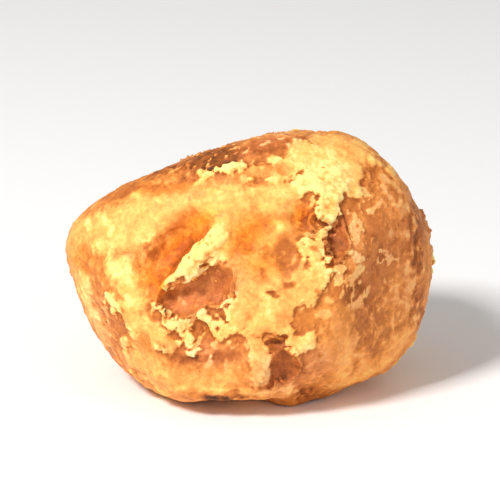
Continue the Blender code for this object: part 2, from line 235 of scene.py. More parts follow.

# Tints of the raw body on the front, some of them painted shade or shadow, as noted. Rows as above
BODY_TINTS = {
    "right_face": (11.0, 12.0, 11.0, 4.0, 2.6, 1.2, 0.40),
    "right_face_low": (10.4, 6.0, 10.0, 3.4, 1.3, 0.7, 0.31),
    "right_upper": (10.5, 16.8, 11.5, 15.5, 1.4, 0.8, 0.36),
    "right_edge": (14.2, 14.0, 14.6, 4.5, 0.8, 0.4, 0.22),
    "right_edge_outer": (15.4, 12.0, 15.4, 6.0, 0.4, 0.3, 0.46),
    "slot_bank": (8.9, 13.0, 8.8, 9.4, 0.9, 0.4, 0.60),
    # These two are painted shade in the hollow beside the bank
    "bank_hollow_painted_shade": (7.6, 7.3, 9.4, 7.4, 0.5, 0.35, 0.27),
    "bank_hollow_painted_shade_low": (7.9, 6.8, 8.3, 6.6, 0.5, 0.3, 0.28),
    "bank_hole": (8.1, 8.9, 8.4, 8.7, 0.3, 0.2, 0.33),
    "column_side": (6.9, 5.2, 7.6, 3.6, 1.0, 0.6, 0.55),
    "column_shade": (6.2, 4.8, 6.5, 3.4, 0.5, 0.3, 0.47),
    "tip_under": (5.2, 2.1, 5.8, 1.4, 0.6, 0.4, 0.46),
    "low_right": (6.8, 2.4, 7.3, 0.8, 0.9, 0.5, 0.56),
    "low_right_shade": (6.0, -0.3, 7.4, -0.4, 0.4, 0.3, 0.42),
    "low_right_gold": (10.0, 0.4, 13.0, 2.6, 0.9, 0.6, 0.56),
    "low_right_brown": (9.5, 2.4, 10.8, 1.9, 0.6, 0.4, 0.36),
    "hook_line": (9.1, 1.1, 8.3, 0.2, 0.12, 0.1, 0.36),
    # crown_left, crown_rim, crown_edge, crown_patch, crest_shade and rim_shade: painted shadow of lumps above
    "crown_left": (-8.0, 17.6, -2.0, 18.6, 1.3, 0.6, 0.16),
    "crown_rim": (-1.5, 18.9, 4.4, 20.2, 0.6, 0.3, 0.21),
    "crown_right": (5.6, 20.4, 9.6, 19.8, 0.6, 0.3, 0.76),
    "low_right_pale": (8.4, 2.8, 8.2, 0.8, 0.45, 0.4, 0.68),
    "crown_edge": (0.0, 20.0, 6.0, 21.4, 0.5, 0.3, 0.46),
    "crown_patch": (0.2, 19.7, 3.8, 20.1, 0.5, 0.3, 0.33),
    "crest_shade": (-8.0, 16.9, -4.8, 17.0, 0.45, 0.3, 0.27),
    "rim_shade": (-12.4, 15.5, -7.0, 17.0, 0.6, 0.4, 0.34),
    "left_band": (-13.0, 8.4, -11.4, 2.4, 0.7, 0.4, 0.38),
    "left_band_dark": (-12.2, 7.0, -10.3, 2.9, 0.25, 0.2, 0.27),
    "left_outer": (-13.9, 5.2, -10.4, 0.0, 0.3, 0.3, 0.50),
    "left_outer_low": (-10.5, -0.1, -7.8, -1.9, 0.15, 0.15, 0.45),
    "low_left_dark": (-10.3, 2.9, -9.8, 2.6, 0.35, 0.25, 0.42),
    "low_band": (-6.2, 1.7, -1.6, 1.8, 0.7, 0.4, 0.28),
    "low_band_light": (-6.0, 0.6, -1.0, 0.7, 0.5, 0.4, 0.47),
    "low_band_strip": (-4.4, 2.2, -2.2, 2.8, 0.25, 0.2, 0.60),
    "shred_shade": (-6.1, 2.8, -5.3, 2.2, 0.3, 0.2, 0.44),
    "shred_notch": (-7.5, 5.1, -7.0, 4.7, 0.22, 0.15, 0.40),
    "olive_hole": (-4.6, 4.2, -3.8, 3.6, 0.6, 0.25, 0.41),
    "mass_shade": (-1.5, 2.8, -0.2, 3.1, 0.4, 0.3, 0.42),
    "olive_right": (3.9, 4.9, 4.6, 5.3, 0.5, 0.25, 0.42),
    "column_spot": (5.9, 6.5, 5.9, 6.4, 0.3, 0.2, 0.42),
    "main_chip": (-6.4, 6.6, -3.0, 7.2, 1.3, 0.5, 0.39),
    "main_chip_dark": (-1.8, 7.9, -2.6, 8.6, 0.7, 0.4, 0.32),
    "main_chip_pale": (-5.9, 7.9, -4.9, 8.1, 0.35, 0.3, 0.55),
    "main_chip_right": (-2.6, 6.8, -2.2, 7.5, 0.5, 0.3, 0.36),
    "bare_patch": (3.0, 10.6, 3.4, 9.8, 1.0, 0.5, 0.36),
    "dimple": (4.3, 13.8, 4.6, 13.4, 0.6, 0.25, 0.45),
    "dimple_foot": (4.4, 13.3, 4.8, 13.1, 0.35, 0.2, 0.34),
    "slot": (7.3, 13.0, 7.2, 10.8, 1.0, 0.4, 0.27),
    "slot_top": (8.4, 14.2, 8.9, 15.1, 0.3, 0.2, 0.33),
    "slot_spots": (4.6, 11.8, 5.2, 12.3, 0.35, 0.2, 0.30),
    "lower_chip": (2.7, 1.2, 3.0, 0.2, 1.2, 0.4, 0.26),
    "lower_chip_right": (4.2, 0.8, 4.4, 0.4, 0.6, 0.4, 0.30),
    "little_chip": (2.1, 2.8, 2.2, 2.8, 0.7, 0.3, 0.24),
    # foot is painted shadow in the recess at the bottom
    "foot": (-3.6, -1.9, -0.6, -2.1, 0.45, 0.3, 0.08),
    "foot_bump": (4.3, -2.0, 6.4, -2.4, 0.6, 0.3, 0.30),
    "foot_bump_shade": (4.6, -1.6, 5.2, -1.5, 0.4, 0.3, 0.20),
}

# Thin tan flakes of dry sugar left on the raw body of the front. name: across and up of both ends, and half
# width, all in mm
FLAKE_STROKES = {
    "bank": (8.8, 13.6, 8.6, 12.2, 0.28),
    "bank_side": (9.3, 13.0, 8.9, 11.4, 0.20),
    "bank_low": (8.6, 10.5, 9.2, 10.0, 0.35),
    "bank_foot": (7.7, 9.1, 7.3, 8.2, 0.35),
    "bank_corner": (8.4, 8.2, 9.0, 8.1, 0.25),
    "bank_far": (9.3, 9.1, 9.0, 8.6, 0.25),
    "upper": (10.3, 14.0, 10.9, 14.8, 0.20),
    "upper_high": (11.5, 17.0, 11.6, 16.6, 0.25),
    "upper_middle": (11.3, 15.9, 11.9, 15.3, 0.25),
    "upper_right": (12.5, 16.1, 12.7, 15.8, 0.25),
    "upper_left": (9.6, 15.8, 9.8, 15.5, 0.25),
    "rim_high": (13.3, 14.6, 13.3, 13.9, 0.22),
    "middle_left": (12.1, 12.2, 12.1, 12.0, 0.25),
    "middle_right": (13.2, 12.2, 13.4, 12.1, 0.25),
    "middle_low": (11.6, 10.4, 11.9, 9.9, 0.30),
    "middle_dot": (12.6, 9.8, 12.6, 9.7, 0.25),
    "rim_streak": (13.5, 9.3, 13.6, 6.7, 0.28),
    "rim_streak_outer": (14.9, 9.2, 14.8, 7.8, 0.10),
    "rim_low": (14.3, 4.8, 14.3, 4.6, 0.25),
    "streak_left": (12.4, 7.5, 12.4, 7.2, 0.30),
    "streak_foot": (12.3, 6.3, 13.2, 6.3, 0.20),
    "low_dot": (13.2, 4.9, 13.2, 4.7, 0.20),
    "curl": (8.7, 6.2, 9.6, 6.7, 0.22),
    "curl_tip": (9.5, 6.5, 9.4, 6.0, 0.25),
    "low_curl": (9.0, 3.3, 8.2, 1.2, 0.28),
    "hook": (8.8, 1.8, 9.7, 1.4, 0.22),
    "hook_end": (9.7, 1.4, 9.8, 0.5, 0.25),
    "chip_dot": (4.8, 0.8, 4.8, 0.6, 0.20),
    "chip_dot_low": (5.6, 0.1, 5.5, -0.1, 0.25),
    "under_column": (7.5, 4.2, 7.6, 3.8, 0.25),
    "column_side": (6.5, 6.7, 6.5, 6.5, 0.25),
    "column_side_low": (5.8, 5.6, 6.4, 5.4, 0.30),
    "bottom": (6.8, -1.0, 7.5, -1.0, 0.25),
}

# The floor of the thumb's valley, beside the lip: across and up of both ends, and half width, in mm
VALLEY = (-7.8, 8.8, -4.8, 12.8, 0.7)

# Where skin runs over a chip's edge on the front. Rows as above
BRIDGES = {
    "column_bridge": (5.7, 13.0, 5.4, 11.0, 0.6),
    "dimple_side": (6.1, 14.4, 6.0, 12.9, 0.85),
    "dimple_top": (3.8, 15.2, 5.8, 14.9, 0.9),
    "lip_foot": (-6.5, 7.9, -3.3, 10.2, 0.75),
    "shoulder_foot": (6.6, 13.4, 7.2, 14.6, 0.8),
    "shred_start": (-8.1, 6.0, -6.4, 4.9, 0.5),
    "chip_bank": (1.1, 2.2, 1.0, 0.0, 0.6),
    "mass_corner": (-2.5, 4.4, -1.7, 6.7, 0.4),
}

# Places on the front with no skin. name: across and up of both ends, and half width, all in mm
BARE_STROKES = {
    "main_chip": (-5.9, 6.7, -2.3, 7.9, 1.4),
    "lower_chip": (2.7, -0.1, 3.4, 0.7, 1.0),
    "little_chip": (2.1, 2.9, 2.2, 2.8, 0.55),
    "slot": (7.5, 12.4, 6.9, 10.9, 0.85),
    "slot_tail": (4.7, 11.9, 5.2, 12.3, 0.3),
    "dimple": (4.3, 13.6, 4.6, 13.3, 0.45),
    "foot_bump": (3.9, -2.4, 6.2, -2.5, 0.7),
    "foot_recess": (-3.4, -2.1, -0.6, -2.2, 0.5),
    "olive_hole": (-4.5, 4.1, -3.9, 3.7, 0.6),
    "olive_right": (4.0, 4.9, 4.6, 5.3, 0.45),
    "mass_notch": (-1.5, 2.7, -0.9, 2.8, 0.35),
}

# Painted glow: deep orange standing in for light that shines through the body where it is thin, and bounces
# about where it is folded in on itself. name: across, up, half width and half height in mm, roll in degrees,
# strength
PAINTED_GLOW_PATCHES = {
    "valley": (-6.0, 10.6, 3.8, 1.3, 48, 1.0),
    "valley_foot": (-7.9, 8.2, 1.3, 1.6, 15, 1.0),
    "valley_top": (-4.2, 13.1, 1.6, 0.8, 20, 1.0),
    "middle": (0.1, 11.8, 2.0, 1.6, 30, 1.0),
    "middle_low": (0.8, 9.6, 1.8, 1.0, -10, 0.6),
    "middle_top": (1.6, 13.0, 1.6, 0.7, 0, 0.5),
    "dimple": (4.3, 13.5, 0.9, 0.9, 10, 1.0),
    "left_edge": (-14.4, 9.8, 1.2, 1.2, 0, 0.4),
    "under_rim": (-7.4, 15.9, 3.4, 0.6, 5, 0.4),
}

# Pinker brown, where the body was freshly broken. Rows as above
ROSY_PATCHES = {
    "main_chip": (-4.2, 7.3, 3.4, 1.9, 20, 0.6),
    "lower_chip": (2.6, 0.6, 2.2, 1.8, 0, 0.7),
    "slot": (7.3, 12.0, 1.2, 2.2, -20, 0.5),
    "bank": (8.9, 11.0, 1.2, 3.4, 0, 0.3),
    "right_face": (11.5, 11.0, 3.5, 6.0, 0, 0.35),
    "low_band": (-3.2, 2.0, 3.4, 1.0, 0, 0.6),
    "left_band": (-12.3, 5.0, 1.0, 4.0, 20, 0.4),
    "tip_under": (5.4, 1.6, 1.4, 1.2, 0, 0.6),
    "crown": (1.5, 19.5, 3.4, 0.9, 20, 0.6),
}

# What is painted on the mesh for the material to read
PAINTED = ("skin", "dry", "fleck", "glow", "rosy", "chip", "hollow", "ridge_painted_highlight", "body_tone", "skin_tone")
FLECK_TONE = 0.68  # of the loose flecks

# The colours that each tone stands for, on the plain body and skin, under the painted glow of light shining
# through it, and where it is freshly broken or flaked
PLAIN_TONES = {
    0.00: "#3B1E0A",
    0.10: "#6D3B11",
    0.20: "#A2561D",
    0.30: "#BA682B",
    0.40: "#CB7A34",
    0.50: "#DD893C",
    0.60: "#ED984C",
    0.70: "#F5A957",
    0.80: "#FABB61",
    0.90: "#FCCA73",
    1.00: "#FDE28C",
}
PAINTED_GLOW_TONES = {
    0.00: "#3B1804",
    0.20: "#873F0A",
    0.40: "#C55F10",
    0.55: "#E97F16",
    0.70: "#F59D2E",
    0.85: "#F9BD4A",
    1.00: "#FDDA7A",
}
ROSY_TONES = {
    0.00: "#432210",
    0.20: "#974F22",
    0.35: "#BF6738",
    0.50: "#D98550",
    0.65: "#E9A46E",
    0.80: "#F5BE8E",
    1.00: "#FCDEB0",
}
FLOOR_WHITE = "#FAF9F7"


def linear(hex_colour, alpha=None):
    """An sRGB hex colour as linear values, which is what Blender's colour settings hold."""
    values = [int(hex_colour[i : i + 2], 16) / 255 for i in (1, 3, 5)]
    values = [v / 12.92 if v <= 0.04045 else ((v + 0.055) / 1.055) ** 2.4 for v in values]
    return tuple(values) if alpha is None else (*values, alpha)


def smoothstep(low, high, value):
    """0 below low and 1 above high, with a soft run between them."""
    part = np.clip((value - low) / (high - low), 0.0, 1.0)
    return part * part * (3 - 2 * part)


class JaggerySettings(bpy.types.PropertyGroup):
    """Sizes and colours of the lump's skin."""

    mesh_step: bpy.props.FloatProperty(
        name="Mesh step", description="Spacing of the skin's mesh", default=0.198 * MM, unit="LENGTH"
    )
    crust_thickness: bpy.props.FloatProperty(
        name="Crust thickness", description="How far the crust stands up", default=0.42 * MM, unit="LENGTH"
    )
    grain_height: bpy.props.FloatProperty(
        name="Grain height", description="Height of the sugar grains", default=0.13 * MM, unit="LENGTH"
    )
    brown: bpy.props.FloatVectorProperty(
        name="Body", description="Colour of the bare body", subtype="COLOR", default=linear(PLAIN_TONES[0.40])
    )
    cream: bpy.props.FloatVectorProperty(
        name="Crust", description="Colour of the dry crust", subtype="COLOR", default=linear(PLAIN_TONES[1.00])
    )


class JaggeryCrumbSettings(bpy.types.PropertyGroup):
    """Sizes of the loose crumbs."""

    count: bpy.props.IntProperty(name="Count", description="Number of crumbs", default=40, min=0)
    smallest: bpy.props.FloatProperty(
        name="Smallest", description="Width of the smallest crumbs", default=0.2 * MM, unit="LENGTH"
    )
    largest: bpy.props.FloatProperty(
        name="Largest", description="Width of the largest crumbs", default=0.42 * MM, unit="LENGTH"
    )


class JaggeryStageSettings(bpy.types.PropertyGroup):
    """Sizes and colours of the studio."""

    elevation: bpy.props.FloatProperty(
        name="Elevation", description="Camera's height as an angle", default=math.radians(17), subtype="ANGLE"
    )
    distance: bpy.props.FloatProperty(
        name="Distance", description="From the camera to the lump", default=0.24, unit="LENGTH"
    )
    floor: bpy.props.FloatVectorProperty(
        name="Floor", description="Colour of the floor", subtype="COLOR", default=linear(FLOOR_WHITE)
    )


def only(thing):
    """Selects one object and nothing else, and makes it active."""
    if bpy.context.mode != "OBJECT":
        bpy.ops.object.mode_set(mode="OBJECT")
    bpy.ops.object.select_all(action="DESELECT")
    thing.select_set(True)
    bpy.context.view_layer.objects.active = thing


def applied(thing, kind, **settings):
    """Adds a modifier with these settings and applies it."""
    only(thing)
    modifier = thing.modifiers.new(kind.title(), kind)
    for name, value in settings.items():
        setattr(modifier, name, value)
    bpy.ops.object.modifier_apply(modifier=modifier.name)


def places(thing):
    """The mesh's points as an array of rows, in metres."""
    rows = np.empty(len(thing.data.vertices) * 3, np.float32)
    thing.data.vertices.foreach_get("co", rows)
    return rows.reshape(-1, 3).astype(float)


def facings(thing):
    """The outward direction at each point, as an array of rows."""
    rows = np.empty(len(thing.data.vertices) * 3, np.float32)
    thing.data.vertex_normals.foreach_get("vector", rows)
    return rows.reshape(-1, 3).astype(float)


def put_places(thing, rows):
    """Moves the mesh's points to these rows."""
    thing.data.vertices.foreach_set("co", rows.astype(np.float32).ravel())
    thing.data.update()


def painted(thing, name, values):
    """Stores a value at each point of the mesh, for its material to read."""
    layer = thing.data.attributes.get(name) or thing.data.attributes.new(name, "FLOAT", "POINT")
    layer.data.foreach_set("value", np.asarray(values, np.float32))


def group(thing, name, weights):
    """A vertex group with these weights, in a hundred steps."""
    made = thing.vertex_groups.new(name=name)
    steps = np.round(np.clip(weights, 0, 1) * 100).astype(int)
    for step in np.unique(steps):
        if step:
            made.add(np.nonzero(steps == step)[0].tolist(), step / 100, "REPLACE")
    return made.name


def wave(rows, size, octaves=3, shift=0.0):
    """Fractal noise about 0 at each row, whose largest waves are of this size."""
    offset = Vector((shift, -shift, 0.5 * shift))
    scaled = rows / size
    return np.array([noise.fractal(Vector(row) + offset, 1.0, 2.0, octaves) for row in scaled])


def warped(rows, size, reach, octaves=2, shift=0.0):
    """Rows moved about by noise of this size, by up to about reach, so that edges on them come out ragged."""
    scaled = rows / size
    offset = Vector((shift, 2 * shift, -shift))
    moves = np.array([noise.turbulence_vector(Vector(row) + offset, octaves, False) for row in scaled])
    return rows + moves * reach


def cells(rows, size, shift=0.0):
    """Distance to the nearest and the second nearest of many scattered points about this far apart, over size."""
    scaled = rows / size
    offset = Vector((shift, shift, -shift))
    found = [noise.voronoi(Vector(row) + offset)[0][:2] for row in scaled]
    return np.array(found)


def on_stencil(rows):
    """Across and up on the front's stencil, in millimetres."""
    up = rows[:, 2] * math.cos(STENCIL_LEAN) + rows[:, 1] * math.sin(STENCIL_LEAN)
    return np.stack([rows[:, 0], up], axis=1) / MM


def stroke_depth(spots, stroke):
    """How far inside a stroke each spot lies, in mm. It is below 0 outside."""
    start, end, half_width = np.array(stroke[:2]), np.array(stroke[2:4]), stroke[4]
    run = end - start
    part = np.clip((spots - start) @ run / max(run @ run, 1e-9), 0, 1)
    return half_width - np.linalg.norm(spots - start - part[:, None] * run, axis=1)


def patch_strength(spots, patches):
    """The strongest of these soft oval patches at each spot, from 0 to 1."""
    strongest = np.zeros(len(spots))
    for across, up, half_width, half_height, roll, strength in patches.values():
        offset = spots - (across, up)
        c, s = math.cos(math.radians(roll)), math.sin(math.radians(roll))
        along = (offset[:, 0] * c + offset[:, 1] * s) / half_width
        over = (offset[:, 1] * c - offset[:, 0] * s) / half_height
        strongest = np.maximum(strongest, strength * np.exp(-((along**2 + over**2) ** 1.2)))
    return strongest


def front_share(rows, outward):
    """1 where the surface faces the stencil, and 0 round the back."""
    towards = np.array([0, -math.cos(STENCIL_LEAN), math.sin(STENCIL_LEAN)])
    return smoothstep(-0.28, -0.06, outward @ towards)


def tinted(spots, tones, tints):
    """The tones at these spots with soft strokes painted over them in turn."""
    for stroke in tints.values():
        share = smoothstep(-stroke[5], stroke[5], stroke_depth(spots, stroke))
        tones = tones + share * (stroke[6] - tones)
    return tones


def painting(rows, outward):
    """What is painted at each row, by name. depth is how far inside the skin it is, in mm, and below 0 on the raw
    body. dry is how dry the skin is. skin_tone and body_tone are the tones of the skin and of the body under it.
    fleck is 1 on a loose fleck."""
    share = front_share(rows, outward)
    spots = on_stencil(warped(rows, 2.6 * MM, 0.28 * MM, 3, 3.0))
    nibble = 0.42 * wave(rows, 1.5 * MM, 5, 19.0) + 0.22 * wave(rows, 0.6 * MM, 3, 29.0)
    depth = np.full(len(rows), -9.0)
    total, dryness, tone = np.full(len(rows), 1e-9), np.zeros(len(rows)), np.zeros(len(rows))
    for stroke in SKIN_STROKES.values():
        inside = stroke_depth(spots, stroke)
        depth = np.maximum(depth, inside)
        weight = np.exp(np.minimum(inside, 0.8) / 0.40) * (1 + 8 * stroke[5] ** 2 * smoothstep(-0.1, 0.1, inside))
        total += weight
        dryness += weight * stroke[5]
        tone += weight * stroke[6]
    dryness, tone = dryness / total, tone / total
    depth += nibble * (1 + 1.3 * smoothstep(0.4, 0.7, dryness))
    for stroke in BARE_STROKES.values():
        depth = np.minimum(depth, 0.5 * nibble - stroke_depth(spots, stroke))
    frayed = on_stencil(warped(rows, 1.0 * MM, 0.22 * MM, 4, 7.0))
    tone = tinted(frayed, tone, SKIN_TINTS)
    body = tinted(frayed, np.full(len(rows), 0.42), BODY_TINTS)

    # The other sides have skin in patches, some of them dry.
    ragged = warped(rows, 2.6 * MM, 0.45 * MM, 3, 3.0)
    patchy = wave(ragged, 6.5 * MM, 3, 11.0) + 0.35 * wave(ragged, 2.2 * MM, 2, 5.0)
    depth = depth * share + ((patchy + 0.05) * 2.6 + nibble) * (1 - share)
    dry_elsewhere = smoothstep(-0.25, 0.45, wave(ragged, 4.0 * MM, 3, 27.0))
    dryness = dryness * share + dry_elsewhere * (1 - share)
    drifts = wave(rows, 2.4 * MM, 3, 33.0)
    tone = tone * share + (0.66 + 0.26 * dry_elsewhere + 0.12 * drifts) * (1 - share)
    body = body * share + (0.42 + 0.10 * wave(rows, 7.5 * MM, 3, 35.0)) * (1 - share)

    # Flecks of dry crust left on the raw body, in drifts, taller than wide.
    drift = smoothstep(-0.25, 0.35, wave(rows, 3.0 * MM, 2, 61.0))
    flakes = np.max([stroke_depth(frayed, stroke) for stroke in FLAKE_STROKES.values()], axis=0)
    flakes = np.where(share > 0, flakes + 0.4 * wave(rows, 0.6 * MM, 4, 81.0), -9.0)
    flecks = 0.8 * (wave(rows * (1, 1, 0.6), 0.60 * MM, 4, 51.0) - 0.56 + 0.16 * drift)
    flecks = np.maximum(flecks, flakes)
    loose = smoothstep(-0.1, 0.1, flecks - depth) * smoothstep(-0.08, 0.14, flecks)
    dryness += loose * (0.6 - dryness)
    depth = np.maximum(depth, flecks)
    return {"depth": depth, "dry": dryness, "skin_tone": tone, "body_tone": body, "fleck": loose}


def hollowness(thing, outward, steps):
    """How far each point lies below the mesh smoothed by this many steps, in metres, and below 0 on a ridge."""
    smooth = thing.copy()
    smooth.data = thing.data.copy()
    bpy.context.scene.collection.objects.link(smooth)
    applied(smooth, "SMOOTH", factor=0.5, iterations=steps)
    gap = ((places(smooth) - places(thing)) * outward).sum(axis=1)
    mesh = smooth.data
    bpy.data.objects.remove(smooth)
    bpy.data.meshes.remove(mesh)
    return gap


def from_chips(solid, skin, rows):
    """How far each row lies outside the nearest chip's edge, in metres, and below 0 inside a chip. The chips are
    the parts of the solid within sharp outer edges that lie below the skin's broad form."""
    shape = bmesh.new()
    shape.from_mesh(solid.data)
    bmesh.ops.remove_doubles(shape, verts=shape.verts[:], dist=1e-6)
    shape.faces.ensure_lookup_table()
    region = np.full(len(shape.faces), -1)
    count = 0
    for face in shape.faces:
        if region[face.index] >= 0:
            continue
        region[face.index] = count
        heap = [face]
        while heap:
            for edge in heap.pop().edges:
                if edge.calc_face_angle_signed(0.0) < math.radians(26):
                    for other in edge.link_faces:
                        if region[other.index] < 0:
                            region[other.index] = count
                            heap.append(other)
        count += 1
    faces = BVHTree.FromBMesh(shape)
    nearest = np.array([faces.find_nearest(Vector(row))[2] for row in places(skin)])
    deep = hollowness(skin, facings(skin), 80)
    here = region[nearest]
    mean = np.bincount(here, deep, count) / np.maximum(np.bincount(here, minlength=count), 1)
    sunk = mean > 0.02 * MM
    sunk[np.bincount(here, minlength=count).argmax()] = False
    chipped = sunk[region]
    rims = [edge for edge in shape.edges if len({bool(chipped[face.index]) for face in edge.link_faces}) == 2]
    steps = [edge.verts[0].co.lerp(edge.verts[1].co, i / 4) for edge in rims for i in range(5)]
    shape.free()
    tree = KDTree(len(steps))
    for index, place in enumerate(steps):
        tree.insert(place, index)
    tree.balance()
    gaps = np.array([tree.find(row)[2] for row in rows])
    inside = np.array([chipped[faces.find_nearest(Vector(row))[2]] for row in rows])
    return np.where(inside, -gaps, gaps)


def node(tree, kind, *inputs, out=None, **settings):
    """Adds one shader node with these settings. Its inputs come in the node's own order, each a value, another
    node's socket, or None to leave it. The output of this name comes back, or the first."""
    made = tree.nodes.new("ShaderNode" + kind)
    for name, value in settings.items():
        setattr(made, name, value)
    for socket, value in zip([each for each in made.inputs if each.enabled], inputs):
        if isinstance(value, bpy.types.NodeSocket):
            tree.links.new(value, socket)
        elif value is not None:
            socket.default_value = value
    return made.outputs[out] if out else next(each for each in made.outputs if each.enabled)


def set_cane_sugar():
    """Jaggery: cane juice boiled down, poured and broken. The body is waxy amber and a little see-through, and
    it drinks in light. Where it has dried, fine sugar has crystallised into a matt pale crust that crumbles."""
    material = bpy.data.materials.new("jaggery_boiled_cane_sugar_poured_and_broken")
    material.use_nodes = True
    tree = material.node_tree
    shader = tree.nodes["Principled BSDF"]
    place = node(tree, "TexCoord", out="Object")
    skin, dry, fleck, glow, rosy, chip, hollow, ridge_painted_highlight, body, cover = (
        node(tree, "Attribute", attribute_name=name, out="Fac") for name in PAINTED
    )
    soft = {"interpolation_type": "SMOOTHSTEP"}

    # Cloudy blotches, mottling and fine sugar grain, all about 0, in tones.
    blotch = node(tree, "TexNoise", place, 1 / (3.2 * MM), 3.0, 0.6, 2.0, 0.4)
    mottle = node(tree, "TexNoise", place, 1 / (0.9 * MM), 3.0, 0.6, 2.0, 0.5)
    fine = node(tree, "TexNoise", place, 1 / (0.34 * MM), 3.0, 0.65, 2.0, 0.2)
    uneven = node(tree, "Math", fine, 0.40, -0.60, operation="MULTIPLY_ADD")
    uneven = node(tree, "Math", mottle, 0.55, uneven, operation="MULTIPLY_ADD")
    uneven = node(tree, "Math", blotch, 0.25, uneven, operation="MULTIPLY_ADD")

    # Painted highlight on the raw body's ridges, and painted shade in its hollows and under the crust's edge.
    dusty = node(tree, "MapRange", dry, 0.45, 0.85, 0.0, 1.0, **soft)
    under = node(tree, "Math", node(tree, "MapRange", skin, -0.5, -0.05, 0.0, 1.0, **soft), dusty, operation="MULTIPLY")
    body = node(tree, "Math", ridge_painted_highlight, 0.12, body, operation="MULTIPLY_ADD")
    body = node(tree, "Math", hollow, -0.10, body, operation="MULTIPLY_ADD")
    body = node(tree, "Math", under, -0.10, body, operation="MULTIPLY_ADD")

    # Crust gets a painted highlight where it stands up, and painted shade in its pits.
    crest = node(tree, "Math", ridge_painted_highlight, dusty, operation="MULTIPLY")
    cover = node(tree, "Math", crest, 0.14, cover, operation="MULTIPLY_ADD")
    pit_painted_shade = node(tree, "Math", hollow, dusty, operation="MULTIPLY")
    cover = node(tree, "Math", pit_painted_shade, -0.30, cover, operation="MULTIPLY_ADD")

    # Moist skin thins out softly into the body, and dry crust ends at a broken edge.
    frayed = node(tree, "Math", uneven, 2.0, skin, operation="MULTIPLY_ADD")
    thinning = node(tree, "MapRange", frayed, -0.7, 0.7, 0.0, 1.0, **soft)
    nibbled = node(tree, "Math", uneven, 0.4, skin, operation="MULTIPLY_ADD")
    broken = node(tree, "MapRange", nibbled, -0.08, 0.10, 0.0, 1.0, **soft)
    crisp = node(tree, "MapRange", dry, 0.35, 0.65, 0.0, 1.0, **soft)
    shown = node(tree, "Mix", crisp, thinning, broken, data_type="FLOAT")
    tone = node(tree, "Mix", shown, body, cover, data_type="FLOAT")
    flaked = node(tree, "Math", node(tree, "MapRange", mottle, 0.36, 0.58, 0.1, 0.9, **soft), fleck, operation="MULTIPLY")
    tone = node(tree, "Mix", flaked, tone, FLECK_TONE, data_type="FLOAT")
    calmer = node(tree, "Math", uneven, node(tree, "MapRange", shown, 0.0, 1.0, 0.6, 1.0), operation="MULTIPLY")
    tone = node(tree, "Math", tone, calmer)
    grains = node(tree, "TexNoise", place, 1 / (0.45 * MM), 2.0, 0.6, 2.0, 0.5)
    specks = node(tree, "MapRange", grains, 0.58, 0.72, 0.0, 0.06, **soft)
    tone = node(tree, "Math", tone, specks)

    settings = bpy.context.scene.jaggery
    colours = []
    for stops in (PLAIN_TONES, PAINTED_GLOW_TONES, ROSY_TONES):
        ramp = node(tree, "ValToRGB", tone)
        elements = ramp.node.color_ramp.elements
        for at, colour in stops.items():
            element = elements[0] if at == 0 else elements[-1] if at == 1 else elements.new(at)
            element.color = linear(colour, 1)
            if stops is PLAIN_TONES and at in (0.40, 1.00):
                element.color = (*(settings.brown if at == 0.40 else settings.cream), 1)
        colours.append(ramp)
    # Rosier where freshly broken, and deeper orange under the painted glow of light through the thin body.
    rosier = node(tree, "Math", fleck, 0.2, rosy, operation="MULTIPLY_ADD", use_clamp=True)
    colour = node(tree, "Mix", rosier, colours[0], colours[2], data_type="RGBA")
    colour = node(tree, "Mix", glow, colour, colours[1], data_type="RGBA")
    tree.links.new(colour, shader.inputs["Base Color"])
    crusty = node(tree, "Math", shown, dusty, operation="MULTIPLY")
    tree.links.new(node(tree, "MapRange", crusty, 0.0, 1.0, 0.55, 0.85), shader.inputs["Roughness"])

    # Grit on the crust and in the chips, and the faint unevenness of set sugar on the rest.
    gritty = node(tree, "Math", node(tree, "Math", crusty, chip, operation="MAXIMUM"), 0.25, operation="MAXIMUM")
    grit = node(tree, "TexNoise", place, 1 / (0.22 * MM), 2.0, 0.7, 2.0, 0.0)
    grit = node(tree, "Math", grit, gritty, operation="MULTIPLY")
    height = node(tree, "Math", mottle, 0.6, grit, operation="MULTIPLY_ADD")
    bump = node(tree, "Bump", 0.6, 0.14 * MM, None, height)
    tree.links.new(bump, shader.inputs["Normal"])

    shader.inputs["IOR"].default_value = 1.5
    shader.inputs["Specular IOR Level"].default_value = 0.22
    shader.inputs["Subsurface Weight"].default_value = 0.22
    shader.inputs["Subsurface Radius"].default_value = (1.0, 0.42, 0.14)
    shader.inputs["Subsurface Scale"].default_value = 1.1 * MM
    return material


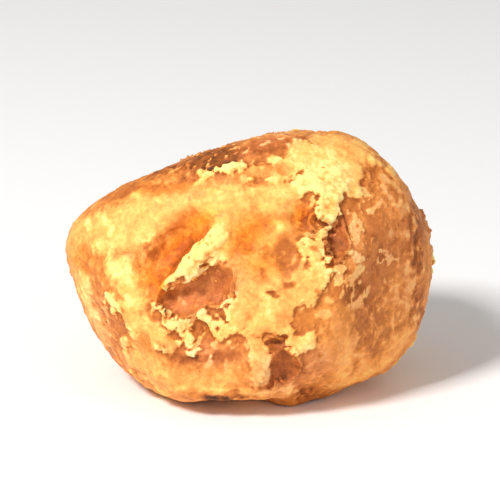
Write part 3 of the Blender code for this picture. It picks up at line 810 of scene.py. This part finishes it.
class OBJECT_OT_jaggery_skin(bpy.types.Operator):
    """Makes the lump's skin from the solid, with its crust and grain"""

    bl_idname = "object.jaggery_skin"
    bl_label = "Jaggery skin"

    def execute(self, context):
        settings = context.scene.jaggery
        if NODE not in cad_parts:
            raise RuntimeError(f"the frame has no node {NODE}")
        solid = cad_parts[NODE]
        skin = bpy.data.objects.new("jaggery_skin", solid.data.copy())
        context.scene.collection.objects.link(skin)
        only(skin)
        bpy.ops.object.mode_set(mode="EDIT")
        bpy.ops.mesh.select_all(action="SELECT")
        bpy.ops.mesh.remove_doubles(threshold=1e-6)
        bpy.ops.object.mode_set(mode="OBJECT")
        skin.data.materials.clear()
        applied(skin, "REMESH", mode="VOXEL", voxel_size=settings.mesh_step)

        # Soften the solid's flat faces, but keep the chips' edges.
        gaps = from_chips(solid, skin, places(skin))
        calm = group(skin, "calm", smoothstep(0.2 * MM, 1.0 * MM, np.abs(gaps)))
        applied(skin, "SMOOTH", factor=0.5, iterations=30, vertex_group=calm)
        applied(skin, "SMOOTH", factor=0.5, iterations=2)

        rows, outward = places(skin), facings(skin)
        paint = painting(rows, outward)
        depth, dryness, loose = paint["depth"], paint["dry"], paint["fleck"]
        chip = smoothstep(-0.12 * MM, 0.06 * MM, -gaps)
        share = front_share(rows, outward)
        crossed = np.max([stroke_depth(on_stencil(rows), stroke) for stroke in BRIDGES.values()], axis=0)
        crossed = np.where(share > 0.5, crossed, -9.0)
        open_chip = np.maximum(gaps / MM, crossed) + 0.15 * wave(rows, 0.8 * MM, 3, 71.0)
        depth = np.minimum(depth, open_chip)
        width = 0.75 - 0.55 * smoothstep(0.35, 0.65, dryness)
        edge = smoothstep(-width, width, depth)
        crusty = smoothstep(0.3, 0.9, dryness) * (1 - 0.7 * loose)

        # The skin stands up, its grains are rounded, and pinholes go down through the driest of it.
        grains = 1 - np.clip(cells(rows, 0.62 * MM, 2.0)[:, 0] / 0.75, 0, 1) ** 2
        lumps = wave(rows, 1.6 * MM, 4, 9.0)
        holes = smoothstep(0.42, 0.62, wave(rows, 1.1 * MM, 3, 21.0))
        thickness = settings.crust_thickness * (0.4 + 0.6 * dryness) * (1 - 0.85 * loose)
        relief = edge * thickness
        relief += edge * crusty * (0.34 * MM * lumps + settings.grain_height * (grains - 0.5))
        relief -= edge * crusty * holes * 0.16 * MM
        relief += edge * (1 - crusty) * 0.10 * MM * wave(rows, 1.1 * MM, 4, 13.0)
        pressed = smoothstep(-1.2, 0.3, stroke_depth(on_stencil(rows), VALLEY)) * share
        relief -= pressed * (1 - crusty) * 0.25 * MM
        relief += (1 - edge) * 0.12 * MM * wave(rows, 1.6 * MM, 4, 15.0)
        relief += chip * 0.10 * MM * wave(rows, 0.9 * MM, 4, 23.0)
        relief -= 0.42 * MM * (1 - chip)
        standing = smoothstep(0.0, 0.8 * MM, rows[:, 2])
        relief *= standing
        low, high = np.array(CAD_BOX[0]), np.array(CAD_BOX[1])
        put_places(skin, np.clip(rows + outward * relief[:, None], low, high))

        outward = facings(skin)
        rows = places(skin)
        shape = hollowness(skin, outward, 5) / (0.07 * MM) + hollowness(skin, outward, 45) / (0.26 * MM)
        spots = on_stencil(rows)
        # Painted glow of light through the body, in patches of noise on the other sides.
        painted_glow_elsewhere = smoothstep(0.25, 0.6, wave(rows, 4.0 * MM, 2, 41.0)) * 0.8
        paint["body_tone"] -= chip * (1 - share) * 0.08
        values = {
            "skin": depth,
            "dry": dryness,
            "fleck": loose,
            "glow": patch_strength(spots, PAINTED_GLOW_PATCHES) * share + painted_glow_elsewhere * (1 - share),
            "rosy": patch_strength(spots, ROSY_PATCHES) * share + chip * 0.8 * (1 - share),
            "chip": chip,
            # The material paints shade where the surface is hollow, and a highlight where it stands up.
            "hollow": smoothstep(0.05, 1.0, shape),
            "ridge_painted_highlight": smoothstep(0.05, 1.0, -shape),
            "body_tone": paint["body_tone"],
            "skin_tone": paint["skin_tone"],
        }
        for name in PAINTED:
            painted(skin, name, values[name])
        triangles = sum(len(face.vertices) - 2 for face in skin.data.polygons)
        if triangles >= MOST_TRIANGLES:
            raise RuntimeError(f"the skin has {triangles} triangles, so its mesh step is too small")
        skin.vertex_groups.clear()
        only(skin)
        bpy.ops.object.shade_smooth()
        skin.data.materials.append(set_cane_sugar())
        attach(skin, "root")
        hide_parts(NODE)
        return {"FINISHED"}


class OBJECT_OT_jaggery_crumbs(bpy.types.Operator):
    """Scatters crumbs of dry crust in the chips and along the crust's broken edges"""

    bl_idname = "object.jaggery_crumbs"
    bl_label = "Jaggery crumbs"

    def execute(self, context):
        settings = context.scene.jaggery_crumbs
        skin = bpy.data.objects["jaggery_skin"]
        kinds = []
        for seed in range(4):
            bpy.ops.mesh.primitive_ico_sphere_add(subdivisions=2, radius=0.5)
            crumb = context.active_object
            crumb.name = "crumb"
            bpy.ops.object.mode_set(mode="EDIT")
            bpy.ops.transform.vertex_random(offset=0.28, uniform=0.3, seed=seed)
            bpy.ops.object.mode_set(mode="OBJECT")
            applied(crumb, "DECIMATE", ratio=0.4)
            faces = [tuple(face.vertices) for face in crumb.data.polygons]
            kinds.append((places(crumb), faces))
            mesh = crumb.data
            bpy.data.objects.remove(crumb)
            bpy.data.meshes.remove(mesh)

        rng = np.random.default_rng(12)
        rows, outward = places(skin), facings(skin)
        values = {name: np.empty(len(rows), np.float32) for name in ("skin", "dry", "chip", "hollow")}
        for name, into in values.items():
            skin.data.attributes[name].data.foreach_get("value", into)
        rim = np.exp(-(((values["skin"] + 0.05) / 0.22) ** 2)) * smoothstep(0.4, 0.8, values["dry"])
        chance = (rim + 0.15) * (0.06 + values["chip"] + values["hollow"])
        chance *= smoothstep(0.8 * MM, 2.0 * MM, rows[:, 2])
        inside = np.array([(rows[:, i] > CAD_BOX[0][i] + 0.4 * MM) & (rows[:, i] < CAD_BOX[1][i] - 0.4 * MM)
                           for i in range(3)]).all(axis=0)
        chance *= inside
        picked = rng.choice(len(rows), settings.count, replace=False, p=chance / chance.sum())
        points, faces, dry = [], [], []
        start = 0
        for index in picked:
            shape, around = kinds[rng.integers(4)]
            size = settings.smallest + (settings.largest - settings.smallest) * rng.random() ** 2.5
            turn = np.array(Vector(rng.normal(size=3)).to_track_quat("Z", "Y").to_matrix())
            stretched = shape * (1.0, rng.uniform(0.65, 1.0), rng.uniform(0.55, 0.9)) * size
            points.append(stretched @ turn.T + rows[index] + outward[index] * size * 0.12)
            faces += [tuple(corner + start for corner in face) for face in around]
            dry.append(np.full(len(shape), rng.uniform(0.3, 0.9)))
            start += len(shape)
        mesh = bpy.data.meshes.new("jaggery_crumbs")
        mesh.from_pydata(np.concatenate(points).tolist(), [], faces)
        crumbs = bpy.data.objects.new("jaggery_crumbs", mesh)
        context.scene.collection.objects.link(crumbs)
        painted(crumbs, "skin", np.ones(start))
        painted(crumbs, "dry", np.concatenate(dry))
        painted(crumbs, "skin_tone", 0.44 + 0.24 * np.concatenate(dry))
        only(crumbs)
        bpy.ops.object.shade_smooth_by_angle(angle=math.radians(50))
        crumbs.data.materials.append(skin.data.materials[0])
        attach(crumbs, "root")
        return {"FINISHED"}


class SCENE_OT_jaggery_stage(bpy.types.Operator):
    """Makes the pale floor, the soft studio light and the camera"""

    bl_idname = "scene.jaggery_stage"
    bl_label = "Studio"

    def execute(self, context):
        settings = context.scene.jaggery_stage
        bpy.ops.object.select_all(action="DESELECT")
        bpy.ops.mesh.primitive_plane_add(size=3.0, location=(0, 0, 0))
        floor = context.active_object
        floor.name = "floor"
        paper = bpy.data.materials.new("studio_paper_matt")
        paper.use_nodes = True
        paper.node_tree.nodes["Principled BSDF"].inputs["Base Color"].default_value = (*settings.floor, 1)
        paper.node_tree.nodes["Principled BSDF"].inputs["Roughness"].default_value = 0.9
        floor.data.materials.append(paper)

        target = Vector((0, 0, 0.0112))
        e = settings.elevation
        back = Vector((0, -math.cos(e), math.sin(e)))
        bpy.ops.object.camera_add(location=target + back * settings.distance)
        camera = context.active_object
        camera.rotation_euler = (-back).to_track_quat("-Z", "Y").to_euler()
        camera.data.lens = 200
        camera.data.sensor_width = 36
        context.scene.camera = camera

        for name, spot, power, size in (
            ("key", (-0.22, -0.24, 0.34), 2.15, 0.10),
            ("fill", (0.40, -0.35, 0.20), 0.45, 0.40),
        ):
            bpy.ops.object.light_add(type="AREA", location=spot)
            lamp = context.active_object
            lamp.name = name
            lamp.data.energy = power
            lamp.data.size = size
            lamp.rotation_euler = (target - Vector(spot)).to_track_quat("-Z", "Y").to_euler()
        world = bpy.data.worlds.new("studio_air")
        world.use_nodes = True
        world.node_tree.nodes["Background"].inputs["Color"].default_value = (1, 1, 1, 1)
        world.node_tree.nodes["Background"].inputs["Strength"].default_value = 0.42
        context.scene.world = world
        context.scene.view_settings.view_transform = "Standard"
        return {"FINISHED"}


class VIEW3D_PT_jaggery(bpy.types.Panel):
    """Lists the steps that dress the lump"""

    bl_idname = "VIEW3D_PT_jaggery"
    bl_label = "Jaggery Lump"
    bl_space_type = "VIEW_3D"
    bl_region_type = "UI"
    bl_category = "Jaggery"

    def draw(self, context):
        for settings, step in (
            (context.scene.jaggery, "object.jaggery_skin"),
            (context.scene.jaggery_crumbs, "object.jaggery_crumbs"),
            (context.scene.jaggery_stage, "scene.jaggery_stage"),
        ):
            box = self.layout.box()
            for name in settings.__annotations__:
                box.prop(settings, name)
            box.operator(step)


CLASSES = (
    JaggerySettings,
    JaggeryCrumbSettings,
    JaggeryStageSettings,
    OBJECT_OT_jaggery_skin,
    OBJECT_OT_jaggery_crumbs,
    SCENE_OT_jaggery_stage,
    VIEW3D_PT_jaggery,
)


def register():
    for each in CLASSES:
        bpy.utils.register_class(each)
    bpy.types.Scene.jaggery = bpy.props.PointerProperty(type=JaggerySettings)
    bpy.types.Scene.jaggery_crumbs = bpy.props.PointerProperty(type=JaggeryCrumbSettings)
    bpy.types.Scene.jaggery_stage = bpy.props.PointerProperty(type=JaggeryStageSettings)


def unregister():
    del bpy.types.Scene.jaggery_stage
    del bpy.types.Scene.jaggery_crumbs
    del bpy.types.Scene.jaggery
    for each in reversed(CLASSES):
        bpy.utils.unregister_class(each)


def main():
    register()
    bpy.ops.object.jaggery_skin()
    bpy.ops.object.jaggery_crumbs()
    bpy.ops.scene.jaggery_stage()


if __name__ == "__main__":
    main()
